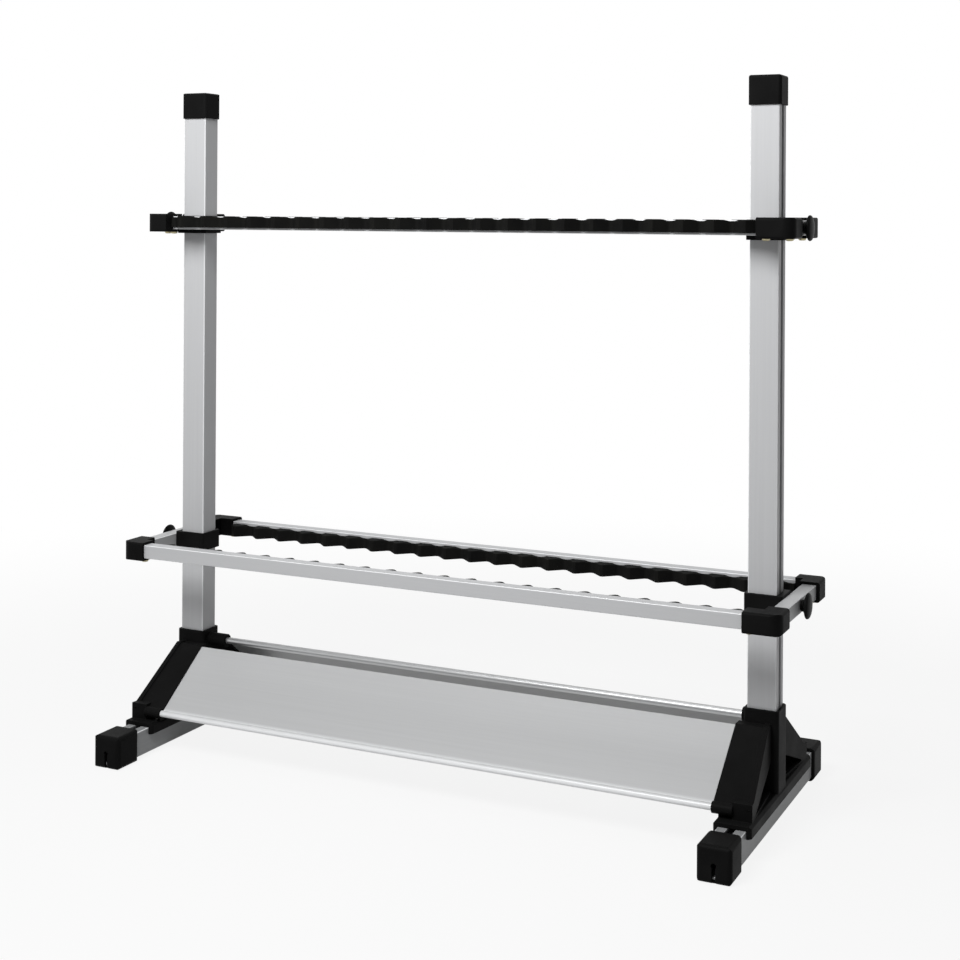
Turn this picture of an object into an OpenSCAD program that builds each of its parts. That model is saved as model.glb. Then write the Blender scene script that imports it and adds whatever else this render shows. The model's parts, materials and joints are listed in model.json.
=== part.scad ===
// Free-standing aluminium rod rack: two T-slot posts on bracketed feet,
// an upper and a lower notched frame that slide on the posts and clamp
// with thumb knobs, and two sloped butt panels between the brackets.
// X runs along the rack, the front faces -Y, Z is up. All sizes in mm.

/* [Posts] */
// Distance between the centres of the two posts
post_spacing = 690; // [560:10:900]
// Width of a post along the rack
post_w = 30; // [26:1:36]
// Depth of a post front to back
post_d = 26; // [24:1:34]
// Wall of the post extrusion
post_wall = 2; // [1.6:0.2:3]
// Radius on the long edges of posts and bars
edge_r = 1.5; // [0.5:0.25:2]
// Height of the top end of the posts above the floor
post_top = 749; // [680:1:900]
// Roof of a post cap
pcap_roof = 3; // [2:0.5:5]
// Wall of a post cap
pcap_wall = 2; // [1.5:0.25:3]
// How far a post cap reaches down the post
pcap_reach = 27; // [18:1:36]

/* [T slots] */
// Opening of the T slot in posts and foot bars
slot_w = 8; // [7:0.5:10]
// Thickness of the slot lips
slot_lip = 2.2; // [1.6:0.2:3]
// Width of the T slot behind the lips
tee_w = 14; // [13:0.5:16]
// Depth of the T slot behind the lips
tee_d = 5; // [4:0.5:6]

/* [Feet] */
// Width of a foot bar
bar_w = 28; // [24:1:34]
// Height of a foot bar
bar_h = 28; // [24:1:34]
// Length of a foot bar front to back
bar_len = 336; // [300:2:420]
// Sole of a foot cap below the bar
cap_sole = 3.5; // [2.5:0.5:6]
// Side wall of a foot cap
cap_wall = 3; // [2:0.5:4]
// Roof of a foot cap
cap_roof = 4; // [2.5:0.5:5]
// End wall of a foot cap
cap_end = 4; // [3:0.5:6]
// How far a foot cap reaches along the bar
cap_reach = 33; // [25:1:40]
// Width of the slit in the end of a foot cap
slit_w = 3.5; // [2:0.5:5]
// Height of the slit in the end of a foot cap
slit_h = 17; // [10:1:22]

/* [Base brackets] */
// Socket wall beside the post, along the rack
sock_wall_x = 3; // [2.5:0.25:4]
// Socket wall in front of and behind the post
sock_wall_y = 4; // [3:0.5:6]
// Height of the top of the post socket
sock_top = 117; // [112:1:150]
// Radius on the upright edges of the socket
sock_r = 5; // [3:0.5:6]
// How far the sloped flange stands in past the post centre
flange_in = 23; // [21:0.5:28]
// Thickness of the lip that covers the panel ends
lip_t = 1.5; // [1:0.25:2.5]
// Thickness of the flange below the panel
ledge_t = 2.5; // [2:0.5:4]
// Height of the rim along the outer edge of the flange
rim_h = 1.8; // [1:0.2:3]
// Width of the rim along the outer edge of the flange
rim_w = 5.5; // [4:0.5:6.5]
// Outer edge of the flange from the post centre, beside the socket
edge_in = 10.8; // [10:0.1:12.5]
// Outer edge of the flange from the post centre, at its lower end
edge_out = 17; // [15:0.25:18.5]
// Thickness of the outer cheek with its window
cheek_t = 4; // [3:0.5:6]
// Length of the saddle on the foot bar
saddle_len = 230; // [222:2:250]
// Thickness of the saddle over the foot bar
saddle_t = 4.5; // [3.5:0.5:6]
// Side walls of the saddle
saddle_wall = 4.9; // [4:0.1:5.5]
// How far the saddle reaches down the sides of the bar
saddle_drop = 7.5; // [5:0.5:10]
// Width of the stop block under the lower end of the flange
block_w = 20; // [18:1:29]
// Height of the top of the stop block
block_top = 53; // [49:0.5:55]

/* [Butt panels] */
// Slope of the butt panels
panel_angle = 36.5; // [34:0.5:39]
// Distance of a panel's upper edge from the middle of the rack
panel_y = 25; // [22:0.5:30]
// Height of a panel's upper edge
panel_z = 102; // [98:0.5:106]
// Length of a panel down its slope
panel_len = 96; // [90:1:100]
// Thickness of a panel
panel_t = 2.5; // [2:0.25:3]
// Radius of the bead along a panel's lower edge
bead_r = 3.5; // [3:0.25:4]
// How far a panel end reaches into the bracket
panel_in = 9; // [6:0.5:11]
// Diameter of the tie rod between the brackets
rod_d = 7.5; // [6:0.5:9]
// Height of the tie rod
rod_z = 105.5; // [103:0.5:107]
// Diameter of the boss around the tie rod
boss_d = 15; // [12:0.5:17]
// Reach of the left boss from the post centre
boss_reach = 41.5; // [36:0.5:50]
// Reach of the right boss from the post centre
boss_short = 22.5; // [20:0.5:24]
// How far the tie rod enters the left boss
rod_in = 15; // [10:1:17]

/* [Rod frames] */
// Height of the middle of the upper frame
upper_z = 598.5; // [500:0.5:640]
// Height of the middle of the lower frame
lower_z = 222; // [180:1:300]
// Gap between the post collars and the corner blocks of the upper frame
block_gap = 1.7; // [1:0.1:12]
// Depth of the lower frame over its corner blocks
lower_depth = 190; // [170:2:240]
// Depth of a rail
rail_d = 15; // [13:0.5:18]
// Height of a rail
rail_h = 15; // [13:0.5:18]
// Wall of a rail
rail_wall = 1.6; // [1.2:0.2:2]
// Height of the groove that holds a rod strip
groove_w = 6; // [5:0.5:7]
// Depth of that groove
groove_d = 3; // [2:0.5:4]
// How far a side rail enters a corner block
rail_in = 14; // [12:0.5:17]
// How far a long rail enters the front right and rear left blocks
rail_in_long = 17; // [15:0.5:19]
// How far a long rail enters the front left and rear right blocks
rail_in_short = 8.5; // [8:0.5:12]
// Solid core of a corner block between its two rails
block_core = 2; // [1:0.25:4]
// Wall of a corner block outside the rails
block_wall = 4; // [2.5:0.25:5]
// Wall of a corner block inside the rails
block_inner = 2; // [1.5:0.25:2.5]
// Cover of a corner block above and below the rails
block_cover = 3; // [2:0.25:4]
// Radius on the outer corner of a corner block
block_r = 13; // [5:0.5:14]
// Radius on the upper and lower edges of a corner block
block_soft = 3; // [1:0.25:3.5]
// Distance of a corner screw from the block's end, long rail
screw_in_x = 4.5; // [4.25:0.25:5.25]
// Distance of a corner screw from the block's end, side rail
screw_in_y = 5.5; // [4.5:0.25:6]
// Shank of a corner screw
screw_d = 4; // [3:0.5:5]
// Head diameter of a corner screw
screw_head_d = 8; // [7:0.5:10]
// Head height of a corner screw
screw_head_h = 2.4; // [1.6:0.2:3]

/* [Rod strips] */
// Distance from one rod notch to the next
pitch = 32; // [28:0.5:40]
// Height of a rod strip
strip_h = 13; // [12:0.5:14]
// How far the strips sit above the middle of the upper rails, and below that of the lower rails
strip_shift = 1.4; // [0:0.1:2]
// Thickness left behind a notch
strip_base = 2; // [1.5:0.25:4]
// Depth of a notch
notch_depth = 13; // [8:0.5:15]
// Radius at the bottom of a notch
notch_r = 4; // [2:0.5:6]
// Width of the flat crest between two notches
crest_w = 3; // [1.5:0.25:5]
// Depth of the dip in the strip's top edge at a notch
dip = 1.5; // [0.5:0.1:2]
// Radius of that dip
dip_r = 25; // [20:1:35]

/* [Collars and knobs] */
// Height of a post collar
collar_h = 20.5; // [18:0.5:26]
// How far the collars of the upper frame sit below its middle
collar_drop = 2; // [0:0.25:4]
// Collar wall between post and side rail
collar_wall_out = 6.2; // [5:0.1:12]
// Collar wall on the inner side of the post
collar_wall_in = 2.7; // [2:0.1:4]
// Collar wall in front of and behind the post
collar_wall_y = 4; // [3:0.25:5]
// Diameter of a clamp knob
knob_d = 26; // [20:1:32]
// Diameter of a knob's stem
knob_stem_d = 12; // [10:0.5:15]
// Length of a knob
knob_l = 9.5; // [9:0.5:16]
// Diameter of a knob's stud
stud_d = 6; // [5:0.5:7]
// Length of the stud inside the knob
stud_in = 6; // [5:0.5:7]
// Length of a slot nut
nut_l = 14; // [12:1:20]

/* [Hidden] */
$fn = 48;

fit = 0.1;          // clearance of a fitted joint, each side
slide_gap = 0.3;    // clearance of a collar on its post
turn_gap = 0.3;     // gap between a knob and its rail
thread_gap = 0.05;  // radial clearance of a stud in its nut
turn_fit = 0.08;    // radial clearance of a stud in its collar
rod_gap = 0.5;      // gap between the tie rod's right end and the post
bore_gap = 0.4;     // radial clearance of a stud in its rail
nut_gap = 0.35;     // clearance of a nut in its T slot
e = 0.01;           // overlap for clean cuts

h = post_spacing / 2;
px = post_w / 2;
py = post_d / 2;
bar_top = cap_sole + bar_h;
saddle_z = bar_top + saddle_t;          // top of the saddle, foot of the post
root_z = bar_top + 0.3 * saddle_t;      // where socket and cheeks grow out of the saddle
col_x = px + fit + sock_wall_x;         // half width of the socket
col_y = py + fit + sock_wall_y;         // half depth of the socket
ca = cos(panel_angle);
sa = sin(panel_angle);

col_out = px + slide_gap + collar_wall_out;  // from the post's centre to the side rail
frame_x = h + col_out + rail_d + block_wall; // outer face of a corner block
block_l = block_wall + rail_d + block_core + rail_in;
rail_end = frame_x - block_wall - rail_d - block_core;  // end of a long rail
// Inner end of a corner block. The corners' arms along the long rails are
// longer at the front right and the rear left than at the other two.
function block_end(side, end) = rail_end - (side * end < 0 ? rail_in_long : rail_in_short);
strip_t = strip_base + notch_depth;
block_h = rail_h + 2 * block_cover;
collar_y = py + slide_gap + collar_wall_y;   // half depth of a collar
upper_depth = 2 * (collar_y + block_gap + arm_l(true));
knob_x = h + col_out + rail_d + turn_gap;  // inner face of a knob
nut_x = px - slot_lip - nut_gap;           // outer face of a slot nut
nut_t = tee_d - 2 * nut_gap;
end_gap = 0.5;                             // past the end of a panel
strip_gap = 0.3;                           // between a strip and a corner block
// A rod strip lies on the inner face of the lower rails (out = false) and on
// the outer face of the upper rails (out = true), flush with the blocks there.
function front_wall(out) = out ? strip_t : block_wall;
function rail_y(depth, out) = depth / 2 - front_wall(out) - rail_d / 2;
function arm_d(out) = front_wall(out) + rail_d + block_inner;  // depth of a block at the long rail
function arm_l(out) = max(block_l, arm_d(out));                // length of a block at the side rail

// ---------- shared shapes ----------
module rrect(w, d, r) {
    square([w - 2 * r, d], center = true);
    square([w, d - 2 * r], center = true);
    for (x = [-1, 1], y = [-1, 1])
        translate([x * (w / 2 - r), y * (d / 2 - r)]) circle(r = r);
}
// extrude a (y, z) outline along X from x0 to x1
module along_x(x0, x1) {
    translate([x0, 0, 0]) rotate([90, 0, 90]) linear_extrude(x1 - x0) children();
}
// extrude an (x, z) outline along Y, centred
module along_y(len) {
    translate([0, len / 2, 0]) rotate([90, 0, 0]) linear_extrude(len) children();
}
module right_or_left(side) {
    if (side > 0) children(); else mirror([1, 0, 0]) children();
}
module front_or_rear(end) {
    if (end > 0) children(); else mirror([0, 1, 0]) children();
}

// T-slot outline with the slot in its +x side
module slot_outline(w, d, wall) {
    lip_x = w / 2 - slot_lip;
    difference() {
        rrect(w, d, edge_r);
        translate([lip_x - e, -slot_w / 2]) square([slot_lip + 1, slot_w]);
        translate([lip_x - tee_d, -tee_w / 2]) square([tee_d, tee_w]);
        translate([-w / 2 + wall, -d / 2 + wall])
            square([w - slot_lip - tee_d - 2 * wall, d - 2 * wall]);
    }
}

// ---------- feet ----------
module foot_bar(side) {
    color("silver") translate([side * h, 0, cap_sole + bar_h / 2]) along_y(bar_len)
        rotate(90) slot_outline(bar_h, bar_w, post_wall);
}
module foot_cap(side, end) {
    w = bar_w + 2 * fit + 2 * cap_wall;
    l = cap_reach + cap_end;
    t = cap_sole + bar_h + cap_roof;
    y0 = bar_len / 2 - cap_reach;
    color("#1c1c1e") translate([side * h, 0, 0]) front_or_rear(end) difference() {
        translate([0, y0 + l / 2, 0]) intersection() {
            linear_extrude(t) rrect(w, l, 5.5);
            along_y(l) translate([0, t / 2]) rrect(w, t, 5);
            along_x(-w / 2, w / 2) union() {
                translate([0, t / 2]) rrect(l, t, 5);
                translate([-l / 4, t / 2]) rrect(l / 2, t, 1);
            }
        }
        translate([-bar_w / 2 - fit, y0 - e, cap_sole])
            cube([bar_w + 2 * fit, cap_reach + e, bar_h + fit]);
        translate([-slit_w / 2, bar_len / 2 - e, -e]) cube([slit_w, cap_end + 2 * e, slit_h + e]);
        translate([0, bar_len / 2 + cap_end / 2, slit_h]) rotate([90, 0, 0])
            cylinder(d = slit_w + 1.5, h = cap_end + 2, center = true);
    }
}

// ---------- base bracket ----------
// point on the panel's slope: u down the slope, v square to it
function slope(u, v) = [panel_y + u * ca + v * sa, panel_z - u * sa + v * ca];
function slope_u(y, v) = (y - panel_y - v * sa) / ca;    // u where that line meets depth y
lip_top = lip_t;
ledge = -panel_t - fit - ledge_t;
u_end = panel_len;
nose_r = bead_r + fit + 2;
stop_y = slope(u_end, lip_top)[0] + 1;      // front face of the stop block

// depth at which the slope's line v passes height z
function slope_y(z, v) = panel_y + (panel_z + v * ca - z) / sa * ca + v * sa;
// The flange and its cheek get wider towards the floor: keep the children
// that lie within w of that slanting outer edge.
function edge_x(y) = edge_in + (edge_out - edge_in) * (y - col_y) / (stop_y - col_y);
module within_edge(w) {
    y2 = stop_y + 10;
    intersection() {
        children();
        translate([0, 0, root_z - 2]) linear_extrude(sock_top)
            polygon([[edge_x(0) - w, 0], [edge_x(0), 0], [edge_x(y2), y2], [edge_x(y2) - w, y2]]);
    }
}

// sloped slab from line v0 up to line v1 that ends in a level shelf at the socket
module flange_outline(v0, v1) {
    z1 = slope(0, v1)[1];
    polygon([[col_y - 3, z1], slope(0, v1), slope(u_end, v1), slope(u_end, v0),
        [slope_y(z1 - 6, v0), z1 - 6], [col_y - 3, z1 - 6]]);
}
// cheek between flange and saddle, with its window
module cheek_outline(window) {
    y1 = slope(u_end, 0)[0];
    zc = slope(0, lip_top)[1] - 2;
    difference() {
        polygon([[col_y - 2, root_z], [col_y - 2, zc], [slope_y(zc, ledge + 1), zc],
            slope(u_end - 1, ledge + 1), [y1 - 3, root_z]]);
        if (window) polygon([[col_y - 1, saddle_z + 1.5], [col_y - 1, sock_top - 51],
            [0.84 * y1, saddle_z + 3], [0.84 * y1, saddle_z + 1.5]]);
    }
}
module bracket_side() {
    // sloped flange with its raised rim and nose
    difference() {
        union() {
            within_edge(60) along_x(-flange_in, col_x) flange_outline(ledge, lip_top);
            within_edge(rim_w) along_x(0, col_x) flange_outline(-1, lip_top + rim_h);
            along_x(-flange_in, edge_out - block_w + 1) translate(slope(u_end, 0)) circle(r = nose_r);
        }
        // channel for the panel's end and bead
        along_x(-flange_in - 1, -flange_in + panel_in + end_gap) {
            polygon([slope(-fit, fit), slope(u_end, fit), slope(u_end, -panel_t - fit), slope(-fit, -panel_t - fit)]);
            translate(slope(u_end, 0)) circle(r = bead_r + fit);
        }
    }
    // outer cheek with window, stop block, inner web
    within_edge(cheek_t) along_x(0, col_x) cheek_outline(true);
    within_edge(60) along_x(edge_out - block_w, col_x) polygon([[stop_y - 18, root_z], slope(u_end - 20, ledge + 1),
        slope(u_end - 20, lip_top - 1), [slope_y(block_top, lip_top) - 1.5, block_top],
        [stop_y, block_top], [stop_y, root_z]]);
    along_x(-col_x, -col_x + cheek_t - 1) cheek_outline(false);
}
// The tie rod enters the left boss; it runs through the short right boss and
// the socket's wall up to the post.
function boss_end(side) = side < 0 ? boss_reach : boss_short;
function rod_end(side) = side < 0 ? h - boss_reach + rod_in : h - px - rod_gap;
module base_bracket(side) {
    sw = bar_w / 2 + fit + saddle_wall;
    reach = boss_end(side);
    bore_l = side < 0 ? rod_in : reach - px;
    color("#1c1c1e") right_or_left(side) translate([h, 0, 0]) difference() {
        union() {
            // saddle on the foot bar
            intersection() {
                along_y(saddle_len) polygon([[-sw, bar_top - saddle_drop], [sw, bar_top - saddle_drop],
                    [sw, saddle_z - 2.5], [sw - 2.5, saddle_z], [2.5 - sw, saddle_z], [-sw, saddle_z - 2.5]]);
                translate([0, 0, bar_top - saddle_drop - 1])
                    linear_extrude(saddle_drop + saddle_t + 2) rrect(2 * sw, saddle_len, 4);
            }
            // post socket
            translate([0, 0, root_z]) linear_extrude(sock_top - root_z)
                rrect(2 * col_x, 2 * col_y, sock_r);
            // boss for the tie rod
            translate([-reach, 0, rod_z]) rotate([0, 90, 0]) cylinder(d = boss_d, h = reach - col_x + 1);
            bracket_side();
            mirror([0, 1, 0]) bracket_side();
        }
        // foot bar
        translate([-bar_w / 2 - fit, -saddle_len, bar_top - saddle_drop - 2])
            cube([bar_w + 2 * fit, 2 * saddle_len, saddle_drop + 2]);
        // post
        translate([-px - fit, -py - fit, saddle_z]) cube([post_w + 2 * fit, post_d + 2 * fit, sock_top]);
        // tie rod
        translate([-reach - 1, 0, rod_z]) rotate([0, 90, 0]) cylinder(d = rod_d + 2 * fit, h = bore_l + 1);
        // bolts into the foot bar, screw into the post
        for (y = [-bolt_y, bolt_y]) translate([0, y, bar_top - 1]) cylinder(d = bolt_d + 2 * fit, h = saddle_t + 2);
        translate([0, py - 1, fixing_z]) rotate([-90, 0, 0]) cylinder(d = fixing_d + 2 * fit, h = sock_wall_y + 2);
    }
}
bolt_y = 46;
bolt_d = 6;
fixing_z = 62;
fixing_d = 5;
module bracket_bolts() {
    color("#b9a36a") for (x = [-h, h], y = [-bolt_y, bolt_y]) translate([x, y, 0]) {
        translate([0, 0, saddle_z]) cylinder(d = 11, h = 4.5, $fn = 6);
        translate([0, 0, bar_top - slot_lip - nut_gap - nut_t + 0.5]) cylinder(d = bolt_d, h = saddle_t + slot_lip + nut_gap + nut_t);
    }
}
module slot_nut(len, bore) {
    // nut with its outer face in z = 0, lying along x
    difference() {
        translate([-len / 2, -tee_w / 2 + nut_gap, -nut_t]) cube([len, tee_w - 2 * nut_gap, nut_t]);
        translate([0, 0, -nut_t - 1]) cylinder(d = bore, h = nut_t + 2);
    }
}
module bracket_slot_nuts() {
    color("#b9a36a") for (x = [-h, h], y = [-bolt_y, bolt_y])
        translate([x, y, bar_top - slot_lip - nut_gap]) rotate(90) slot_nut(nut_l, bolt_d + 2 * thread_gap);
}
module post_fixing_screws() {
    color("#b9a36a") for (x = [-h, h]) translate([x, 0, fixing_z]) rotate([-90, 0, 0]) {
        translate([0, 0, col_y]) cylinder(d = 9, h = 2.5);
        translate([0, 0, py - post_wall - 1]) cylinder(d = fixing_d, h = col_y - py + post_wall + 1 + e);
    }
}

// ---------- posts ----------
module post(side) {
    color("silver") right_or_left(side) translate([h, 0, 0]) difference() {
        translate([0, 0, saddle_z]) linear_extrude(post_top - saddle_z) slot_outline(post_w, post_d, post_wall);
        translate([0, py - post_wall - 1, fixing_z]) rotate([-90, 0, 0])
            cylinder(d = fixing_d + 2 * fit, h = post_wall + 2);
    }
}
module post_cap(side) {
    w = post_w + 2 * fit + 2 * pcap_wall;
    d = post_d + 2 * fit + 2 * pcap_wall;
    z0 = post_top - pcap_reach;
    t = pcap_reach + pcap_roof;
    color("#1c1c1e") translate([side * h, 0, z0]) difference() {
        intersection() {
            linear_extrude(t) rrect(w, d, 4);
            along_y(d) union() {
                translate([0, t / 2]) rrect(w, t, 3);
                translate([-w / 2, 0]) square([w, t / 2]);
            }
            along_x(-w / 2, w / 2) union() {
                translate([0, t / 2]) rrect(d, t, 3);
                translate([-d / 2, 0]) square([d, t / 2]);
            }
        }
        translate([-px - fit, -py - fit, -1]) cube([post_w + 2 * fit, post_d + 2 * fit, pcap_reach + 1]);
    }
}

// ---------- butt panels and tie rod ----------
module panel(end) {
    l = 2 * (h - flange_in + panel_in);
    u1 = u_end - 0.4 * bead_r;      // the sheet runs into the bead
    color("#c9cbcc") front_or_rear(end) union() {
        along_x(-l / 2, l / 2) polygon([slope(0, -panel_t), slope(0, 0), slope(u1, 0), slope(u1, -panel_t)]);
        along_x(-l / 2, l / 2) translate(slope(u_end, 0)) circle(r = bead_r);
    }
}
module tie_rod() {
    color("silver") translate([-rod_end(-1), 0, rod_z]) rotate([0, 90, 0]) cylinder(d = rod_d, h = rod_end(-1) + rod_end(1));
}

// ---------- rod frames ----------
// (y, z) outline of a long rail, groove in its +y side
module rail_outline(groove) {
    cut = groove ? groove_d + rail_wall : rail_wall;
    difference() {
        rrect(rail_d, rail_h, 1);
        translate([-rail_d / 2 + rail_wall, -rail_h / 2 + rail_wall])
            square([rail_d - rail_wall - cut, rail_h - 2 * rail_wall]);
        if (groove) translate([rail_d / 2 - groove_d, -groove_w / 2]) square([groove_d + 1, groove_w]);
    }
}
module long_rail(z, depth, end, out) {
    face = out ? end : -end;
    yc = end * rail_y(depth, out);
    color("#c9cbcc") difference() {
        translate([0, yc, z]) front_or_rear(face) along_x(-rail_end, rail_end) rail_outline(true);
        for (x = [-1, 1]) translate([x * (block_end(x, end) + screw_in_x), yc, z - rail_h / 2 - 1])
            cylinder(d = screw_d + 2 * fit, h = rail_wall + 2);
    }
}
module side_rail(z, depth, side, out) {
    len = depth - 2 * (arm_l(out) - rail_in);
    xc = side * (h + col_out + rail_d / 2);
    color("#c9cbcc") difference() {
        translate([xc, 0, z]) along_y(len) rail_outline(false);
        translate([xc, 0, z]) rotate([0, 90, 0]) cylinder(d = stud_d + 2 * bore_gap, h = rail_d + 2, center = true);
        for (y = [-1, 1]) translate([xc, y * (depth / 2 - arm_l(out) + screw_in_y), z - rail_h / 2 - 1])
            cylinder(d = screw_d + 2 * fit, h = rail_wall + 2);
    }
}
// Points of one rod notch along a strip: two straight sides that run into a
// rounded bottom at y = strip_base and end at the crests at y = strip_t.
half_mouth = (pitch - crest_w) / 2;
notch_l = sqrt(half_mouth * half_mouth + (notch_depth - notch_r) * (notch_depth - notch_r));
notch_slope = atan2(notch_depth - notch_r, half_mouth) + asin(notch_r / notch_l);
function notch(x) = concat(
    [[x - half_mouth, strip_t]],
    [for (k = [-3 : 3]) [x + notch_r * sin(k * notch_slope / 3), strip_base + notch_r * (1 - cos(k * notch_slope / 3))]],
    [[x + half_mouth, strip_t]]);
// half of a notched strip: side +1 is the right half
module rod_strip(z, depth, end, side, out) {
    face = out ? end : -end;
    yc = end * rail_y(depth, out) + face * rail_d / 2;
    len = block_end(side, end) - strip_gap;
    n = ceil(len / pitch) + 1;
    zs = out ? strip_shift : -strip_shift;
    color("#151516") translate([0, yc, z]) front_or_rear(face) right_or_left(side) difference() {
        union() {
            intersection() {
                translate([0, 0, zs - strip_h / 2]) linear_extrude(strip_h)
                    polygon(concat([[-pitch, 0]], [for (i = [0 : n]) each notch(i * pitch)], [[(n + 1) * pitch, 0]]));
                translate([0, -1, -strip_h]) cube([len, strip_t + 2, 2 * strip_h]);
            }
            translate([0, strip_gap - groove_d, fit - groove_w / 2]) cube([len, groove_d, groove_w - 2 * fit]);
        }
        for (i = [0 : n]) translate([i * pitch, -e, zs + strip_h / 2 - dip + dip_r]) rotate([-90, 0, 0])
            cylinder(r = dip_r, h = strip_t + 1);
    }
}
// corner block: side and end give the corner
module corner_block(z, depth, side, end, out) {
    x0 = frame_x;
    y0 = depth / 2;
    ly = arm_l(out);
    lx = x0 - block_end(side, end);
    color("#1c1c1e") translate([0, 0, z]) right_or_left(side) front_or_rear(end) difference() {
        intersection() {
            translate([0, 0, -block_h / 2]) linear_extrude(block_h) difference() {
                union() {
                    translate([x0 - lx, y0 - ly]) square([lx - block_r, ly]);
                    translate([x0 - lx, y0 - ly]) square([lx, ly - block_r]);
                    translate([x0 - block_r, y0 - block_r]) circle(r = block_r);
                }
                if (ly > arm_d(out)) translate([x0 - lx - 1, y0 - ly - 1])
                    square([lx - block_wall - rail_d - block_inner + 1, ly - arm_d(out) + 1]);
            }
            // soft upper and lower edges on the outer faces
            translate([x0 - 2 * block_l, 0, 0]) along_y(4 * depth) rrect(4 * block_l, block_h, block_soft);
            along_x(0, 2 * x0) rrect(depth, block_h, block_soft);
        }
        // long rail and side rail
        translate([0, rail_y(depth, out), 0]) along_x(x0 - lx - 1, rail_end + fit)
            square([rail_d + 2 * fit, rail_h + 2 * fit], center = true);
        translate([x0 - block_wall - rail_d / 2, y0 - ly + (rail_in + fit - 1) / 2, 0]) along_y(rail_in + fit + 1)
            square([rail_d + 2 * fit, rail_h + 2 * fit], center = true);
        // screws from below
        translate([x0 - lx + screw_in_x, rail_y(depth, out), -block_h])
            cylinder(d = screw_d + 2 * fit, h = block_h);
        translate([x0 - block_wall - rail_d / 2, y0 - ly + screw_in_y, -block_h])
            cylinder(d = screw_d + 2 * fit, h = block_h);
    }
}
module screw() {
    // pan-head screw standing up through a block's floor, head below z = 0
    translate([0, 0, -screw_head_h]) cylinder(d = screw_head_d, h = screw_head_h);
    cylinder(d = screw_d, h = block_cover + rail_wall + 3);
}
module corner_screws(z, depth, out) {
    color("#b9a36a") for (x = [-1, 1], y = [-1, 1]) {
        translate([x * (block_end(x, y) + screw_in_x), y * rail_y(depth, out), z - block_h / 2]) screw();
        translate([x * (frame_x - block_wall - rail_d / 2), y * (depth / 2 - arm_l(out) + screw_in_y), z - block_h / 2]) screw();
    }
}
module collar(z, side, drop) {
    x_in = px + slide_gap + collar_wall_in;
    color("#1c1c1e") right_or_left(side) translate([h, 0, z - drop - collar_h / 2]) difference() {
        translate([(col_out - x_in) / 2, 0, 0]) linear_extrude(collar_h)
            rrect(col_out + x_in, 2 * collar_y, 2.5);
        translate([0, 0, -1]) linear_extrude(collar_h + 2)
            square([post_w + 2 * slide_gap, post_d + 2 * slide_gap], center = true);
        translate([0, 0, collar_h / 2 + drop]) rotate([0, 90, 0]) cylinder(d = stud_d + 2 * turn_fit, h = 2 * col_out);
    }
}
module slot_nuts(z) {
    color("#b9a36a") for (side = [-1, 1]) right_or_left(side)
        translate([h + nut_x, 0, z]) rotate([0, 90, 0]) slot_nut(nut_l, stud_d + 2 * thread_gap);
}
module knob(z, side) {
    k = knob_d / 2;
    s = knob_stem_d / 2;
    color("#1c1c1e") right_or_left(side) translate([knob_x, 0, z]) rotate([0, 90, 0]) rotate_extrude($fn = 64)
        difference() {
            polygon([[0, 0], [s, 0], [s, 0.22 * knob_l], [s + 0.30 * (k - s), 0.36 * knob_l], [k - 1.2, 0.50 * knob_l],
                [k, 0.58 * knob_l], [k, 0.70 * knob_l], [k - 0.9, 0.82 * knob_l], [k - 3.2, 0.92 * knob_l],
                [0.45 * k, 0.985 * knob_l], [0, knob_l]]);
            translate([-1, -1]) square([stud_d / 2 + 1, stud_in + 1]);
        }
}
module stud(z, side) {
    x0 = h + nut_x - nut_t + 0.2;
    color("#b9a36a") right_or_left(side) translate([x0, 0, z]) rotate([0, 90, 0])
        cylinder(d = stud_d, h = knob_x + stud_in - x0);
}

foot_bar(-1);  // foot_bar_left
foot_bar(1);  // foot_bar_right
foot_cap(-1, -1);  // foot_cap_front_left
foot_cap(1, -1);  // foot_cap_front_right
foot_cap(-1, 1);  // foot_cap_rear_left
foot_cap(1, 1);  // foot_cap_rear_right
base_bracket(-1);  // base_bracket_left
base_bracket(1);  // base_bracket_right
bracket_bolts();
bracket_slot_nuts();
post_fixing_screws();
post(-1);  // post_left
post(1);  // post_right
post_cap(-1);  // post_cap_left
post_cap(1);  // post_cap_right
panel(-1);  // front_panel
panel(1);  // rear_panel
tie_rod();
long_rail(upper_z, upper_depth, -1, true);  // upper_front_rail
long_rail(upper_z, upper_depth, 1, true);  // upper_rear_rail
side_rail(upper_z, upper_depth, -1, true);  // upper_left_rail
side_rail(upper_z, upper_depth, 1, true);  // upper_right_rail
rod_strip(upper_z, upper_depth, -1, -1, true);  // upper_front_strip_left
rod_strip(upper_z, upper_depth, -1, 1, true);  // upper_front_strip_right
rod_strip(upper_z, upper_depth, 1, -1, true);  // upper_rear_strip_left
rod_strip(upper_z, upper_depth, 1, 1, true);  // upper_rear_strip_right
corner_block(upper_z, upper_depth, -1, -1, true);  // upper_corner_front_left
corner_block(upper_z, upper_depth, 1, -1, true);  // upper_corner_front_right
corner_block(upper_z, upper_depth, -1, 1, true);  // upper_corner_rear_left
corner_block(upper_z, upper_depth, 1, 1, true);  // upper_corner_rear_right
collar(upper_z, -1, collar_drop);  // upper_collar_left
collar(upper_z, 1, collar_drop);  // upper_collar_right
corner_screws(upper_z, upper_depth, true);  // upper_corner_screws
slot_nuts(upper_z);  // upper_slot_nuts
knob(upper_z, -1);  // upper_knob_left
knob(upper_z, 1);  // upper_knob_right
stud(upper_z, -1);  // upper_stud_left
stud(upper_z, 1);  // upper_stud_right
long_rail(lower_z, lower_depth, -1, false);  // lower_front_rail
long_rail(lower_z, lower_depth, 1, false);  // lower_rear_rail
side_rail(lower_z, lower_depth, -1, false);  // lower_left_rail
side_rail(lower_z, lower_depth, 1, false);  // lower_right_rail
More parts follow.
